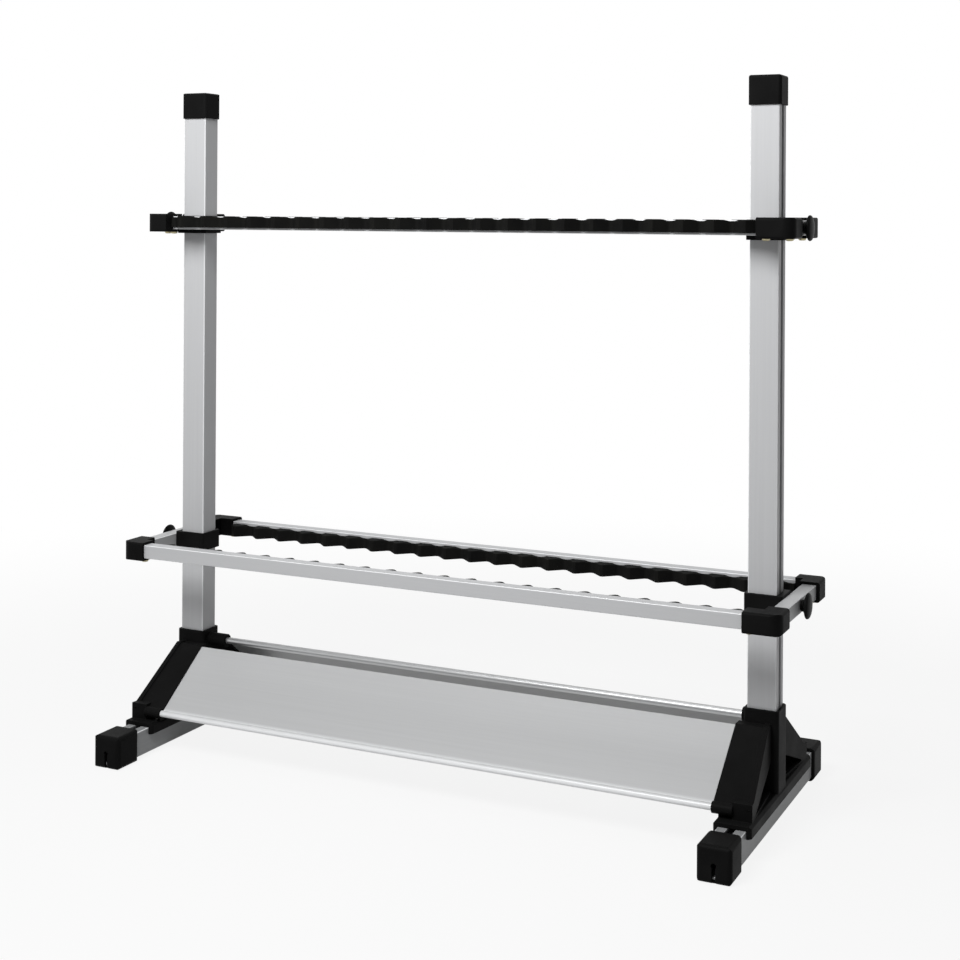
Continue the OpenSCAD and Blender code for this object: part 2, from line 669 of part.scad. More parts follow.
rod_strip(lower_z, lower_depth, -1, -1, false);  // lower_front_strip_left
rod_strip(lower_z, lower_depth, -1, 1, false);  // lower_front_strip_right
rod_strip(lower_z, lower_depth, 1, -1, false);  // lower_rear_strip_left
rod_strip(lower_z, lower_depth, 1, 1, false);  // lower_rear_strip_right
corner_block(lower_z, lower_depth, -1, -1, false);  // lower_corner_front_left
corner_block(lower_z, lower_depth, 1, -1, false);  // lower_corner_front_right
corner_block(lower_z, lower_depth, -1, 1, false);  // lower_corner_rear_left
corner_block(lower_z, lower_depth, 1, 1, false);  // lower_corner_rear_right
collar(lower_z, -1, 0);  // lower_collar_left
collar(lower_z, 1, 0);  // lower_collar_right
corner_screws(lower_z, lower_depth, false);  // lower_corner_screws
slot_nuts(lower_z);  // lower_slot_nuts
knob(lower_z, -1);  // lower_knob_left
knob(lower_z, 1);  // lower_knob_right
stud(lower_z, -1);  // lower_stud_left
stud(lower_z, 1);  // lower_stud_right
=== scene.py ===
# %% [markdown]
# # A rod rack, dressed around its CAD frame
# The rack is an aluminium stand for fishing rods: two posts on bracketed feet,
# two notched frames that slide on the posts, and two sloped panels that the
# rod butts stand on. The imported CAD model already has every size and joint.
# This lesson gives its pieces soft edges, real finishes and small detail.
#
# Blender's start-up objects go first, so that only the rack is left.

# %% Load the frame
import json
import math

import bmesh
import bpy
from mathutils import Matrix, Vector

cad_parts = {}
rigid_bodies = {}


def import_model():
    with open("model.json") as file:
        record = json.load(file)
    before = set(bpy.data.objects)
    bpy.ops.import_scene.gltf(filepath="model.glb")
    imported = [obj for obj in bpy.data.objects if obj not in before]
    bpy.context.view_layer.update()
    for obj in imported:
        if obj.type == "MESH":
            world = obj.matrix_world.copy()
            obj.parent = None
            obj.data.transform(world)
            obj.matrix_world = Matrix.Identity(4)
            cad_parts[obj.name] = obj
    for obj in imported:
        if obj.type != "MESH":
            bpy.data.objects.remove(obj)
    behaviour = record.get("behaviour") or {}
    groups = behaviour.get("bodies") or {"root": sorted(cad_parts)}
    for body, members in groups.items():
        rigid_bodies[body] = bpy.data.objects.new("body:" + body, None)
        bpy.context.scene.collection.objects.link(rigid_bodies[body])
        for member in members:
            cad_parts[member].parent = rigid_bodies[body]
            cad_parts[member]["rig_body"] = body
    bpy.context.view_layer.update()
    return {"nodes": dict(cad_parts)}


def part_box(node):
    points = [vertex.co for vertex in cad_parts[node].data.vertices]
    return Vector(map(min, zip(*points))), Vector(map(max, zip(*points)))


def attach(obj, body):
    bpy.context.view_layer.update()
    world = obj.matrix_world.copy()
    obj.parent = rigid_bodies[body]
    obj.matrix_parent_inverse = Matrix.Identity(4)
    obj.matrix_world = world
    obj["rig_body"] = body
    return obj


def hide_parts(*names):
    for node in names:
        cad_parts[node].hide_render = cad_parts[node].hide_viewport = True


for leftover in list(bpy.data.objects):
    bpy.data.objects.remove(leftover)

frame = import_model()
MM = 0.001
SIDES, ENDS, LEVELS = ("left", "right"), ("front", "rear"), ("upper", "lower")


def new_object(name, data):
    """An object that is linked to the scene."""
    made = bpy.data.objects.new(name, data)
    bpy.context.scene.collection.objects.link(made)
    return made


# %% [markdown]
# ## The camera
# The photograph was taken with a level camera at the height of the upper
# frame, to the right of the rack, and then shifted down so that the posts stay
# upright. A shift lens does the same in Blender: the camera looks level, and
# shift_y moves the picture. The numbers come from lining up the posts, frames
# and feet of the CAD model with the photograph.

# %% Camera
PHOTO = 960                 # the photograph is square, in pixels
SENSOR = 36                 # width of the sensor in mm
view_turn = math.radians(25.5)
view_roll = math.radians(0.33)
view_from = Vector((0.7834, -1.5929, 0.6101))
focal_px = 1614.0
level_line_px = 214.6       # the height of the eye line in the picture

forward = Vector((-math.sin(view_turn), math.cos(view_turn), 0))
right = Vector((math.cos(view_turn), math.sin(view_turn), 0))
up = Vector((0, 0, 1))
side_axis = right * math.cos(view_roll) + up * math.sin(view_roll)
up_axis = up * math.cos(view_roll) - right * math.sin(view_roll)

camera_data = bpy.data.cameras.new("photo_camera")
camera_data.sensor_fit = "HORIZONTAL"
camera_data.sensor_width = SENSOR
camera_data.lens = SENSOR * focal_px / PHOTO
camera_data.shift_y = (level_line_px - PHOTO / 2) / PHOTO
camera = new_object("photo_camera", camera_data)
camera.matrix_world = Matrix.Translation(view_from) @ Matrix(
    (side_axis, up_axis, -forward)).transposed().to_4x4()
bpy.context.scene.camera = camera
print("lens", round(camera_data.lens, 2), "mm, shift", round(camera_data.shift_y, 3))

# %% [markdown]
# ## Short hands for node trees
# Every finish is a node tree, and writing each node out in full would hide the
# idea behind the finish. One helper adds a node with its settings and input
# values, another starts a material and gives back its Principled shader.

# %% Nodes and materials
def add_node(tree, kind, inputs=None, **settings):
    """One node, with plain settings and values or links for its inputs."""
    made = tree.nodes.new(kind)
    for key, value in settings.items():
        setattr(made, key, value)
    for key, value in (inputs or {}).items():
        if isinstance(value, bpy.types.NodeSocket):
            tree.links.new(value, made.inputs[key])
        else:
            made.inputs[key].default_value = value
    return made


def calc(tree, operation, *values):
    """One Math node with its values or links in order."""
    made = add_node(tree, "ShaderNodeMath", dict(enumerate(values)), operation=operation)
    return made.outputs[0]


def start_material(name, **values):
    """A material, its tree and its Principled shader with some sockets set."""
    material = bpy.data.materials.new(name)
    material.use_nodes = True
    tree = material.node_tree
    shader = tree.nodes["Principled BSDF"]
    for key, value in values.items():
        shader.inputs[key.replace("_", " ")].default_value = value
    return material, tree, shader


# %% [markdown]
# Real surfaces vary a little everywhere, so a colour or a roughness is never
# one flat value here. Noise on Object coordinates gives the variation: it
# needs no image and no unwrapping, and it stays on the piece when a joint
# moves it.

# %% Noise, colour and bump
def noise(tree, scale, stretch=(1, 1, 1), detail=3.0, roughness=0.5):
    """Noise on Object coordinates: scale is waves per metre, stretch per axis."""
    place = add_node(tree, "ShaderNodeTexCoord").outputs["Object"]
    mapped = add_node(tree, "ShaderNodeMapping", {"Vector": place, "Scale": stretch})
    return add_node(tree, "ShaderNodeTexNoise", {
        "Vector": mapped.outputs["Vector"], "Scale": scale, "Detail": detail,
        "Roughness": roughness}).outputs["Fac"]


def remap(tree, value, low, high, from_low=0.3, from_high=0.7):
    """Noise sits around 0.5, so its middle is stretched to low..high."""
    return add_node(tree, "ShaderNodeMapRange", {
        "Value": value, "From Min": from_low, "From Max": from_high,
        "To Min": low, "To Max": high}).outputs["Result"]


def blend(tree, factor, first, second):
    """A colour between two; each is a link or three numbers."""
    mix = add_node(tree, "ShaderNodeMix", {"Factor": factor}, data_type="RGBA")
    for key, colour in (("A", first), ("B", second)):
        if isinstance(colour, bpy.types.NodeSocket):
            tree.links.new(colour, mix.inputs[key])
        else:
            mix.inputs[key].default_value = (*colour, 1)
    return next(o for o in mix.outputs if o.type == "RGBA")


def bump(tree, shader, height, strength, distance):
    """Shading as if the surface had this height."""
    made = add_node(tree, "ShaderNodeBump", {
        "Height": height, "Strength": strength, "Distance": distance})
    tree.links.new(made.outputs["Normal"], shader.inputs["Normal"])


# %% [markdown]
# ## Backdrop
# The photograph stands on plain white. A white world would also light the rack
# from every side and wash it out. So the world is white only where it is seen
# directly or in a reflection, and for everything else it is a weak fill.

# %% World
FILL = 0.12
world = bpy.data.worlds.new("studio")
bpy.context.scene.world = world
world.use_nodes = True
sky = world.node_tree
sky.nodes.clear()


def seen_directly(tree):
    """1 where the camera, a reflection or glass looks straight at this."""
    path = add_node(tree, "ShaderNodeLightPath").outputs
    first = calc(tree, "MAXIMUM", path["Is Camera Ray"], path["Is Glossy Ray"])
    return calc(tree, "MAXIMUM", first, path["Is Transmission Ray"])


fill_light, white_wall = (
    add_node(sky, "ShaderNodeBackground", {"Color": (1, 1, 1, 1), "Strength": strength})
    for strength in (FILL, 1.0))
sky_mix = add_node(sky, "ShaderNodeMixShader", {
    0: seen_directly(sky), 1: fill_light.outputs[0], 2: white_wall.outputs[0]})
add_node(sky, "ShaderNodeOutputWorld", {"Surface": sky_mix.outputs[0]})
print("world:", len(sky.nodes), "nodes")

# %% [markdown]
# ## Floor
# The floor is a pale matt sheet that takes the rack's shadow. Grey alone would
# look dull beside the white, so most of what is seen of it is a plain white
# glow, and the share of the glow grows with the distance from the rack until
# the floor melts into the backdrop.

# %% Floor
FLOOR_REACH = 40                            # half its side in metres
GLOW_NEAR, GLOW_FAR = 0.88, 1.0             # share of the glow
FADE_FROM, FADE_TO = 0.45, 1.6              # between these distances in metres
floor_material, tree, shader = start_material(
    "pale_floor", Base_Color=(0.62, 0.62, 0.62, 1), Roughness=0.9, Specular_IOR_Level=0.0)
glow = add_node(tree, "ShaderNodeEmission", {"Color": (1, 1, 1, 1), "Strength": 1.0})
spot = add_node(tree, "ShaderNodeTexCoord").outputs["Object"]
away = add_node(tree, "ShaderNodeVectorMath", {0: spot}, operation="LENGTH").outputs["Value"]
fade = add_node(tree, "ShaderNodeMapRange", {
    "Value": away, "From Min": FADE_FROM, "From Max": FADE_TO,
    "To Min": GLOW_NEAR, "To Max": GLOW_FAR}, interpolation_type="SMOOTHSTEP").outputs["Result"]
floor_mix = add_node(tree, "ShaderNodeMixShader", {
    0: calc(tree, "MULTIPLY", fade, seen_directly(tree)), 1: shader.outputs[0],
    2: glow.outputs[0]})
tree.links.new(floor_mix.outputs[0], tree.nodes["Material Output"].inputs["Surface"])

floor_mesh = bpy.data.meshes.new("floor")
floor_mesh.from_pydata([(x * FLOOR_REACH, y * FLOOR_REACH, 0)
                        for x, y in ((-1, -1), (1, -1), (1, 1), (-1, 1))], [], [(0, 1, 2, 3)])
floor_mesh.materials.append(floor_material)
floor = new_object("floor", floor_mesh)
print("floor:", 2 * FLOOR_REACH, "m wide")

# %% [markdown]
# ## Lamps
# In the photograph the posts are brightest near the top and fade downwards,
# and each frame throws a soft shadow on them. That is a softbox close in front
# and above. A second, weaker one overhead lights the tops of the rails. Both
# stay at a plain level, so a colour comes out about as it is written.

# %% Lamps
def soft_lamp(name, place, aim, width, height, watts):
    """A rectangular studio lamp that looks at a point of the rack."""
    data = bpy.data.lights.new(name, "AREA")
    data.shape = "RECTANGLE"
    data.size, data.size_y, data.energy = width, height, watts
    look = (Vector(aim) - Vector(place)).to_track_quat("-Z", "Y").to_matrix().to_4x4()
    new_object(name, data).matrix_world = Matrix.Translation(place) @ look


soft_lamp("key_softbox", place=(-0.10, -1.05, 1.38), aim=(0.0, 0.0, 0.68),
          width=0.8, height=0.6, watts=24)
soft_lamp("top_softbox", place=(-0.3, 0.2, 2.2), aim=(0.0, 0.0, 0.3),
          width=1.2, height=1.2, watts=7)

# %% [markdown]
# ## Painted edge highlights
# The round edges of anodised aluminium catch the light and show as thin bright
# lines. Here that highlight is painted into the colour instead of being left to
# the lamps. An edge is where the surface looks in between the axes, so the
# object's own normal finds it. On a panel the sloped sheet looks that way as a
# whole, so there the height picks out the bead at the foot for its painted highlight.

# %% Where aluminium gets a painted highlight
BRIGHT_BELOW, DULL_ABOVE = 0.80, 0.985      # largest part of the normal
BEAD_TOP, BEAD_BLEND = 47.5 * MM, 2 * MM


def turned_away(tree):
    """1 on a round edge, where the surface looks between the axes and a highlight is painted,
    else 0.
    """
    normal = add_node(tree, "ShaderNodeTexCoord").outputs["Normal"]
    size = add_node(tree, "ShaderNodeVectorMath", {0: normal}, operation="ABSOLUTE")
    parts = add_node(tree, "ShaderNodeSeparateXYZ", {0: size.outputs["Vector"]}).outputs
    most = calc(tree, "MAXIMUM", calc(tree, "MAXIMUM", parts[0], parts[1]), parts[2])
    return remap(tree, most, 1, 0, BRIGHT_BELOW, DULL_ABOVE)


def on_bead(tree):
    """1 on the bead at the foot of a panel, where its highlight is painted, 0 above it."""
    place = add_node(tree, "ShaderNodeTexCoord").outputs["Object"]
    z = add_node(tree, "ShaderNodeSeparateXYZ", {0: place}).outputs["Z"]
    return remap(tree, z, 1, 0, BEAD_TOP - BEAD_BLEND, BEAD_TOP + BEAD_BLEND)


# %% [markdown]
# ## Aluminium
# The posts, rails, panels and foot bars are pressed through a die, blasted matt
# and anodised. The die leaves faint streaks along the length of the profile,
# and blasting leaves a fine even grain. The streaks are noise that is stretched
# along one axis, so there is one aluminium for each direction of travel. The
# tie rod is plain polished bar, so it gets more metal and less roughness.

# %% Aluminium finishes
AXES = {"x": (0.01, 1, 1), "y": (1, 0.01, 1), "z": (1, 1, 0.01)}
STREAKS, GRAIN, ROD_STREAKS = 420, 2600, 300        # waves per metre
# colour of the painted highlight on round edges and on the panel bead
EDGE_HIGHLIGHT = (0.86, 0.87, 0.88)


def aluminium(name, along, dark, light, rough=(0.36, 0.46), bright=turned_away):
    """Satin anodised aluminium with die streaks along one axis and a painted highlight where
    bright is 1.
    """
    material, tree, shader = start_material(name, Metallic=0.08, Specular_IOR_Level=0.15)
    streak = noise(tree, STREAKS, AXES[along], detail=4, roughness=0.6)
    grain = noise(tree, GRAIN, detail=2)
    satin = blend(tree, remap(tree, streak, 0, 1), dark, light)
    # painted highlight: the pale colour is blended in where the mask says an edge or bead catches
    # light
    tree.links.new(blend(tree, bright(tree), satin, EDGE_HIGHLIGHT), shader.inputs["Base Color"])
    tree.links.new(remap(tree, grain, *rough), shader.inputs["Roughness"])
    bump(tree, shader, calc(tree, "ADD", streak, grain), strength=0.10, distance=0.04 * MM)
    return material


post_metal = aluminium("aluminium_post", "z", (0.505, 0.51, 0.52), (0.53, 0.535, 0.545))
rail_metal = aluminium("aluminium_rail", "x", (0.50, 0.505, 0.515), (0.525, 0.53, 0.54))
arm_metal = aluminium("aluminium_side_rail", "y", (0.47, 0.475, 0.48), (0.495, 0.50, 0.505))
# The foot bars get a darker copy of the same aluminium: painted shade, for the low bars where the
# rack's shadow falls.
shaded_bar_metal = aluminium("aluminium_foot_bar", "y", (0.27, 0.275, 0.28), (0.295, 0.30, 0.305))
# the panels get their painted highlight on the bead, picked out by height
panel_metal = aluminium("aluminium_panel", "x", (0.47, 0.475, 0.48), (0.49, 0.495, 0.50),
                        rough=(0.30, 0.40), bright=on_bead)

rod_metal, tree, shader = start_material("aluminium_tie_rod", Metallic=0.8, Roughness=0.3)
rod_tone = remap(tree, noise(tree, ROD_STREAKS, AXES["x"]), 0, 1)
tree.links.new(blend(tree, rod_tone, (0.44, 0.445, 0.45), (0.48, 0.485, 0.49)),
               shader.inputs["Base Color"])
print("aluminium:", [m.name for m in bpy.data.materials if m.name.startswith("aluminium")])

# %% [markdown]
# ## Black mouldings
# Caps, brackets, collars, corner blocks and knobs are injection moulded in
# black glass-filled nylon. The mould was spark eroded, so the skin has a fine
# pebble grain; broad, weak clouds of roughness are the flow marks. The rod
# strips are softer and duller than the other mouldings.

# %% Plastic finishes
FLOW_MARKS = 28             # waves per metre


def black_plastic(name, dark, light, rough, gloss, pebble=1500, depth=0.06 * MM):
    """Black moulded plastic with a pebble grain and faint flow marks."""
    material, tree, shader = start_material(name, Specular_IOR_Level=gloss)
    flow = noise(tree, FLOW_MARKS, detail=4)
    grain = noise(tree, pebble, detail=2, roughness=0.6)
    tree.links.new(blend(tree, remap(tree, flow, 0, 1), dark, light), shader.inputs["Base Color"])
    both = calc(tree, "ADD", flow, grain)       # two noises, so it sits around 1
    tree.links.new(remap(tree, both, *rough, from_low=0.75, from_high=1.25),
                   shader.inputs["Roughness"])
    bump(tree, shader, grain, strength=0.35, distance=depth)
    return material


moulding = black_plastic("black_nylon", (0.005, 0.005, 0.005), (0.008, 0.008, 0.008),
                         rough=(0.42, 0.56), gloss=0.02)
soft_black = black_plastic("black_rod_strip", (0.007, 0.007, 0.007), (0.011, 0.011, 0.010),
                           rough=(0.58, 0.72), gloss=0.015, pebble=1100, depth=0.1 * MM)
knob_black = black_plastic("black_knob", (0.005, 0.005, 0.005), (0.009, 0.009, 0.009),
                           rough=(0.30, 0.42), gloss=0.02)
print("plastics:", [m.name for m in (moulding, soft_black, knob_black)])

# %% [markdown]
# ## Zinc-plated steel
# Screws, bolts, studs and nuts are steel with a yellow chromate over zinc. The
# chromate pools unevenly, so its tint wanders between straw and grey.

# %% Steel finish
TINT, SHEEN, PITTING = 700, 1900, 3000              # waves per metre
zinc, tree, shader = start_material("yellow_zinc", Metallic=0.9)
zinc_tone = remap(tree, noise(tree, TINT), 0, 1)
tree.links.new(blend(tree, zinc_tone, (0.36, 0.33, 0.22), (0.50, 0.44, 0.26)),
               shader.inputs["Base Color"])
tree.links.new(remap(tree, noise(tree, SHEEN), 0.28, 0.42), shader.inputs["Roughness"])
bump(tree, shader, noise(tree, PITTING), strength=0.15, distance=0.05 * MM)
print("materials:", len(bpy.data.materials))

# %% [markdown]
# ## From CAD solid to finished piece
# A CAD node arrives as loose triangles with hard edges, and real edges are
# never that sharp: a thin round catches the light and draws the outline. So a
# copy of each solid is merged, and its flat triangles are joined into whole
# faces. The copy stands for the node, which stays in the physics model.

# %% Copy, bake and hand in
MERGE = 0.002 * MM          # points closer than this are one
FLAT = math.radians(0.6)    # faces that turn less than this are one


def body_of(node):
    return frame["nodes"][node]["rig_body"]


def merged(node):
    """The node's surface as a clean bmesh of whole faces."""
    surface = bmesh.new()
    surface.from_mesh(frame["nodes"][node].data)
    bmesh.ops.remove_doubles(surface, verts=surface.verts, dist=MERGE)
    bmesh.ops.dissolve_limit(surface, angle_limit=FLAT, verts=surface.verts[:],
                             edges=surface.edges[:])
    return surface


def as_object(surface, name):
    """Turn a bmesh into an object and let the bmesh go."""
    mesh = bpy.data.meshes.new(name)
    surface.to_mesh(mesh)
    surface.free()
    return new_object(name, mesh)


def bake(piece):
    """Make the modifiers' result the piece's plain mesh."""
    bpy.context.view_layer.update()
    shape = piece.evaluated_get(bpy.context.evaluated_depsgraph_get())
    piece.data = bpy.data.meshes.new_from_object(shape)
    piece.modifiers.clear()


def hand_in(piece, material, node):
    """Bake the piece, paint it and tie it to its node."""
    bake(piece)
    piece.data.name = piece.name
    piece.data.materials.clear()
    piece.data.materials.append(material)
    piece.data.polygons.foreach_set("material_index", [0] * len(piece.data.polygons))
    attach(piece, body_of(node))
    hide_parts(node)


# %% [markdown]
# A Bevel modifier rounds what is sharper than 30 degrees. Weighted normals then
# keep the broad faces flat and let only the rounds bend the light. A piece that
# brings its own rounds gets no bevel and keeps its sharp edges.

# %% Soft edges
def soften(piece, edge=0, sharp=30):
    """Round the edges by edge metres and keep the broad faces flat."""
    for face in piece.data.polygons:
        face.use_smooth = True
    piece.data.set_sharp_from_angle(angle=math.radians(sharp))
    if edge:
        rounds = piece.modifiers.new("rounds", "BEVEL")
        rounds.limit_method = "ANGLE"
        rounds.angle_limit = math.radians(sharp)
        rounds.width = edge
        rounds.segments = 2
        rounds.use_clamp_overlap = False
    flats = piece.modifiers.new("flats", "WEIGHTED_NORMAL")
    flats.mode = "FACE_AREA"
    flats.weight = 50
    flats.keep_sharp = not edge


def finished(node, kind, material, edge):
    """A finished copy of one CAD node."""
    piece = as_object(merged(node), f"{node}_{kind}")
    soften(piece, edge)
    hand_in(piece, material, node)


# %% [markdown]
# ## Extrusions and sheets
# Posts, rails and foot bars are cut from extruded profiles, so their edges are
# crisp: a quarter of a millimetre of round is enough to draw a bright line. The
# tie rod is a round bar with a slightly larger round at its ends.

# %% Extrusions
for side in SIDES:
    finished(f"post_{side}", "extrusion", post_metal, 0.25 * MM)
    finished(f"foot_bar_{side}", "extrusion", shaded_bar_metal, 0.25 * MM)
    for level in LEVELS:
        finished(f"{level}_{side}_rail", "extrusion", arm_metal, 0.2 * MM)
for end in ENDS:
    finished(f"{end}_panel", "sheet", panel_metal, 0.25 * MM)
    for level in LEVELS:
        finished(f"{level}_{end}_rail", "extrusion", rail_metal, 0.2 * MM)
finished("tie_rod", "bar", rod_metal, 0.3 * MM)
print("extrusions done")

# %% [markdown]
# ## Mouldings
# Nylon flows into the corners of its mould but never fills them sharply, so
# these edges are about twice as round as those of the metal. The large rounds
# of the caps and blocks are already in the CAD model.

# %% Mouldings
def moulded(node, edge):
    finished(node, "moulding", moulding, edge)


for side in SIDES:
    moulded(f"base_bracket_{side}", 0.5 * MM)
    moulded(f"post_cap_{side}", 0.4 * MM)
    for end in ENDS:
        moulded(f"foot_cap_{end}_{side}", 0.4 * MM)
    for level in LEVELS:
        moulded(f"{level}_collar_{side}", 0.5 * MM)
        for end in ENDS:
            moulded(f"{level}_corner_{end}_{side}", 0.4 * MM)
print("mouldings done")

# %% [markdown]
# ## Rod strips: the section
# A rod strip is one long moulding with a tongue at its back that sits in the
# rail's groove. Its section is drawn once as a closed outline, with round
# corners at the front, so that it can be swept along the rail.

# %% Section of a rod strip
STRIP_DEPTH, STRIP_HEIGHT, STRIP_BASE = 15 * MM, 13 * MM, 2 * MM
TONGUE_DEPTH, TONGUE_HEIGHT, TONGUE_SHIFT = 2.7 * MM, 5.8 * MM, 1.4 * MM
STRIP_CORNER, CORNER_STEPS = 0.9 * MM, 4


def strip_section(shift):
    """Closed outline: -x is the depth away from the rail, y the height,
    because the sweep lays the drawing's x along -Y. The tongue sits off the
    strip's middle by the shift."""
    top, inner = STRIP_HEIGHT / 2, STRIP_HEIGHT / 2 - STRIP_CORNER
    foot, roof = shift - TONGUE_HEIGHT / 2, shift + TONGUE_HEIGHT / 2
    outline = [(0, -top), (0, foot), (-TONGUE_DEPTH, foot), (-TONGUE_DEPTH, roof), (0, roof),
               (0, top)]
    for start, middle in ((90, inner), (0, -inner)):
        for step in range(CORNER_STEPS + 1):
            turn = math.radians(start - 90 / CORNER_STEPS * step)
            outline.append((STRIP_DEPTH - STRIP_CORNER + STRIP_CORNER * math.cos(turn),
                            middle + STRIP_CORNER * math.sin(turn)))
    mesh = bpy.data.meshes.new("strip_section")
    count = len(outline)
    mesh.from_pydata([(-x, y, 0) for x, y in outline],
                     [(i, (i + 1) % count) for i in range(count)], [])
    return new_object("strip_section", mesh)


# %% [markdown]
# ## Rod strips: the sweep
# The strip has a notch every 32 mm and a shallow dip in its top edge at each
# notch. That is a rule, so Geometry Nodes draw it. The tree has a named input
# for each size. It sweeps the section along the rail in steps of half a
# millimetre, which puts a row of points on each crest's two corners.

# %% Tree that sweeps the section
def new_tree(name, sockets):
    """A geometry tree with named inputs; gives the tree and its input node."""
    tree = bpy.data.node_groups.new(name, "GeometryNodeTree")
    tree.interface.new_socket("Geometry", in_out="INPUT", socket_type="NodeSocketGeometry")
    for label, kind in sockets.items():
        tree.interface.new_socket(label, in_out="INPUT", socket_type=f"NodeSocket{kind}")
    tree.interface.new_socket("Geometry", in_out="OUTPUT", socket_type="NodeSocketGeometry")
    return tree, tree.nodes.new("NodeGroupInput").outputs


def vector(tree, **parts):
    """A vector from its X, Y and Z."""
    return add_node(tree, "ShaderNodeCombineXYZ", parts).outputs[0]


strip_sizes = ("From", "To", "Step", "Pitch", "Crest", "Depth", "Base", "Notch Radius", "Dip",
               "Dip Radius")
strip_tree, given = new_tree("notched_strip", {
    "Section": "Object", **{label: "Float" for label in strip_sizes}, "Material": "Material"})
tree = strip_tree
line = add_node(tree, "GeometryNodeCurvePrimitiveLine", {
    "Start": vector(tree, X=given["From"]), "End": vector(tree, X=given["To"])})
length = calc(tree, "SUBTRACT", given["To"], given["From"])
columns = calc(tree, "ADD", calc(tree, "DIVIDE", length, given["Step"]), 1.0)
path = add_node(tree, "GeometryNodeResampleCurve", {"Curve": line.outputs[0], "Count": columns})
section = add_node(tree, "GeometryNodeObjectInfo", {"Object": given["Section"]})
outline = add_node(tree, "GeometryNodeMeshToCurve", {"Mesh": section.outputs["Geometry"]})
swept = add_node(tree, "GeometryNodeCurveToMesh", {
    "Curve": path.outputs[0], "Profile Curve": outline.outputs[0], "Fill Caps": True})
print("sweep:", len(tree.nodes), "nodes")

# %% [markdown]
# ## Rod strips: the notches
# Each point of the sweep asks how far it is from the middle of the nearest
# notch; a ping-pong of its place along the rail gives that gap. A notch is a
# round bottom with two straight walls. Each wall is the line from the crest's
# corner that touches the round, which needs one arc sine and one arc tangent.
# The dip is a flat arc of a large radius.

# %% How deep the front and the top are at a point
spot = add_node(tree, "ShaderNodeSeparateXYZ", {
    0: add_node(tree, "GeometryNodeInputPosition").outputs[0]}).outputs
gap = calc(tree, "PINGPONG", spot["X"], calc(tree, "DIVIDE", given["Pitch"], 2.0))


def arc_sag(radius, across):
    """How far an arc of this radius has fallen at a distance across."""
    square = calc(tree, "SUBTRACT", calc(tree, "MULTIPLY", radius, radius),
                  calc(tree, "MULTIPLY", across, across))
    return calc(tree, "SUBTRACT", radius, calc(tree, "SQRT", calc(tree, "MAXIMUM", square, 0.0)))


half_mouth = calc(tree, "DIVIDE", calc(tree, "SUBTRACT", given["Pitch"], given["Crest"]), 2.0)
rise = calc(tree, "SUBTRACT", calc(tree, "SUBTRACT", given["Depth"], given["Base"]),
            given["Notch Radius"])
reach = calc(tree, "SQRT", calc(tree, "ADD", calc(tree, "MULTIPLY", rise, rise),
                                calc(tree, "MULTIPLY", half_mouth, half_mouth)))
slope = calc(tree, "ADD", calc(tree, "ARCTAN2", rise, half_mouth),
             calc(tree, "ARCSINE", calc(tree, "DIVIDE", given["Notch Radius"], reach)))
wall = calc(tree, "SUBTRACT", given["Depth"], calc(
    tree, "MULTIPLY", calc(tree, "SUBTRACT", half_mouth, gap), calc(tree, "TANGENT", slope)))
near = calc(tree, "MINIMUM", gap, given["Notch Radius"])
bottom = calc(tree, "ADD", given["Base"], arc_sag(given["Notch Radius"], near))
touch = calc(tree, "MULTIPLY", given["Notch Radius"], calc(tree, "SINE", slope))
drop = calc(tree, "MAXIMUM", 0.0, calc(
    tree, "SUBTRACT", given["Dip"], arc_sag(given["Dip Radius"], gap)))
print("notch:", len(tree.nodes), "nodes")

# %% [markdown]
# The front of the strip is then squeezed to the depth that the notch leaves,
# and the top goes down by the dip. The tongue behind the back and the underside
# stay as they are.

# %% Move the points and close the tree
ABOVE_TONGUE = 5 * MM       # over the strip's middle, higher than any tongue


def choose(tree, test, when_no, when_yes):
    """One of two values, after a test that gives 0 or 1."""
    return add_node(tree, "ShaderNodeMix", {0: test, 2: when_no, 3: when_yes},
                    data_type="FLOAT").outputs[0]


def close_tree(tree, geometry, material):
    """Every tree ends with real geometry and its material."""
    real = add_node(tree, "GeometryNodeRealizeInstances", {"Geometry": geometry})
    painted = add_node(tree, "GeometryNodeSetMaterial", {
        "Geometry": real.outputs[0], "Material": material})
    tree.links.new(painted.outputs[0], tree.nodes.new("NodeGroupOutput").inputs[0])


front = choose(tree, calc(tree, "GREATER_THAN", gap, touch), bottom,
               calc(tree, "MINIMUM", wall, given["Depth"]))
squeeze = calc(tree, "DIVIDE", front, given["Depth"])
depth_now = choose(tree, calc(tree, "GREATER_THAN", spot["Y"], 0.0), spot["Y"],
                   calc(tree, "MULTIPLY", spot["Y"], squeeze))
on_top = calc(tree, "GREATER_THAN", spot["Z"], ABOVE_TONGUE)
height_now = calc(tree, "SUBTRACT", spot["Z"], calc(tree, "MULTIPLY", drop, on_top))
moved = add_node(tree, "GeometryNodeSetPosition", {
    "Geometry": swept.outputs[0],
    "Position": vector(tree, X=spot["X"], Y=depth_now, Z=height_now)})
close_tree(tree, moved.outputs[0], given["Material"])
print("strip tree:", len(tree.nodes), "nodes")

# %% [markdown]
# ## Rod strips: in their places
# One tree makes all eight half strips; only the section, the ends and the way
# they face differ. The box of each CAD node says where its strip goes.

# %% Rod strips
NOTCHES = {"Step": 0.5 * MM, "Pitch": 32 * MM, "Crest": 3 * MM, "Depth": STRIP_DEPTH,
           "Base": STRIP_BASE, "Notch Radius": 4 * MM, "Dip": 1.5 * MM, "Dip Radius": 25 * MM,
           "Material": soft_black}


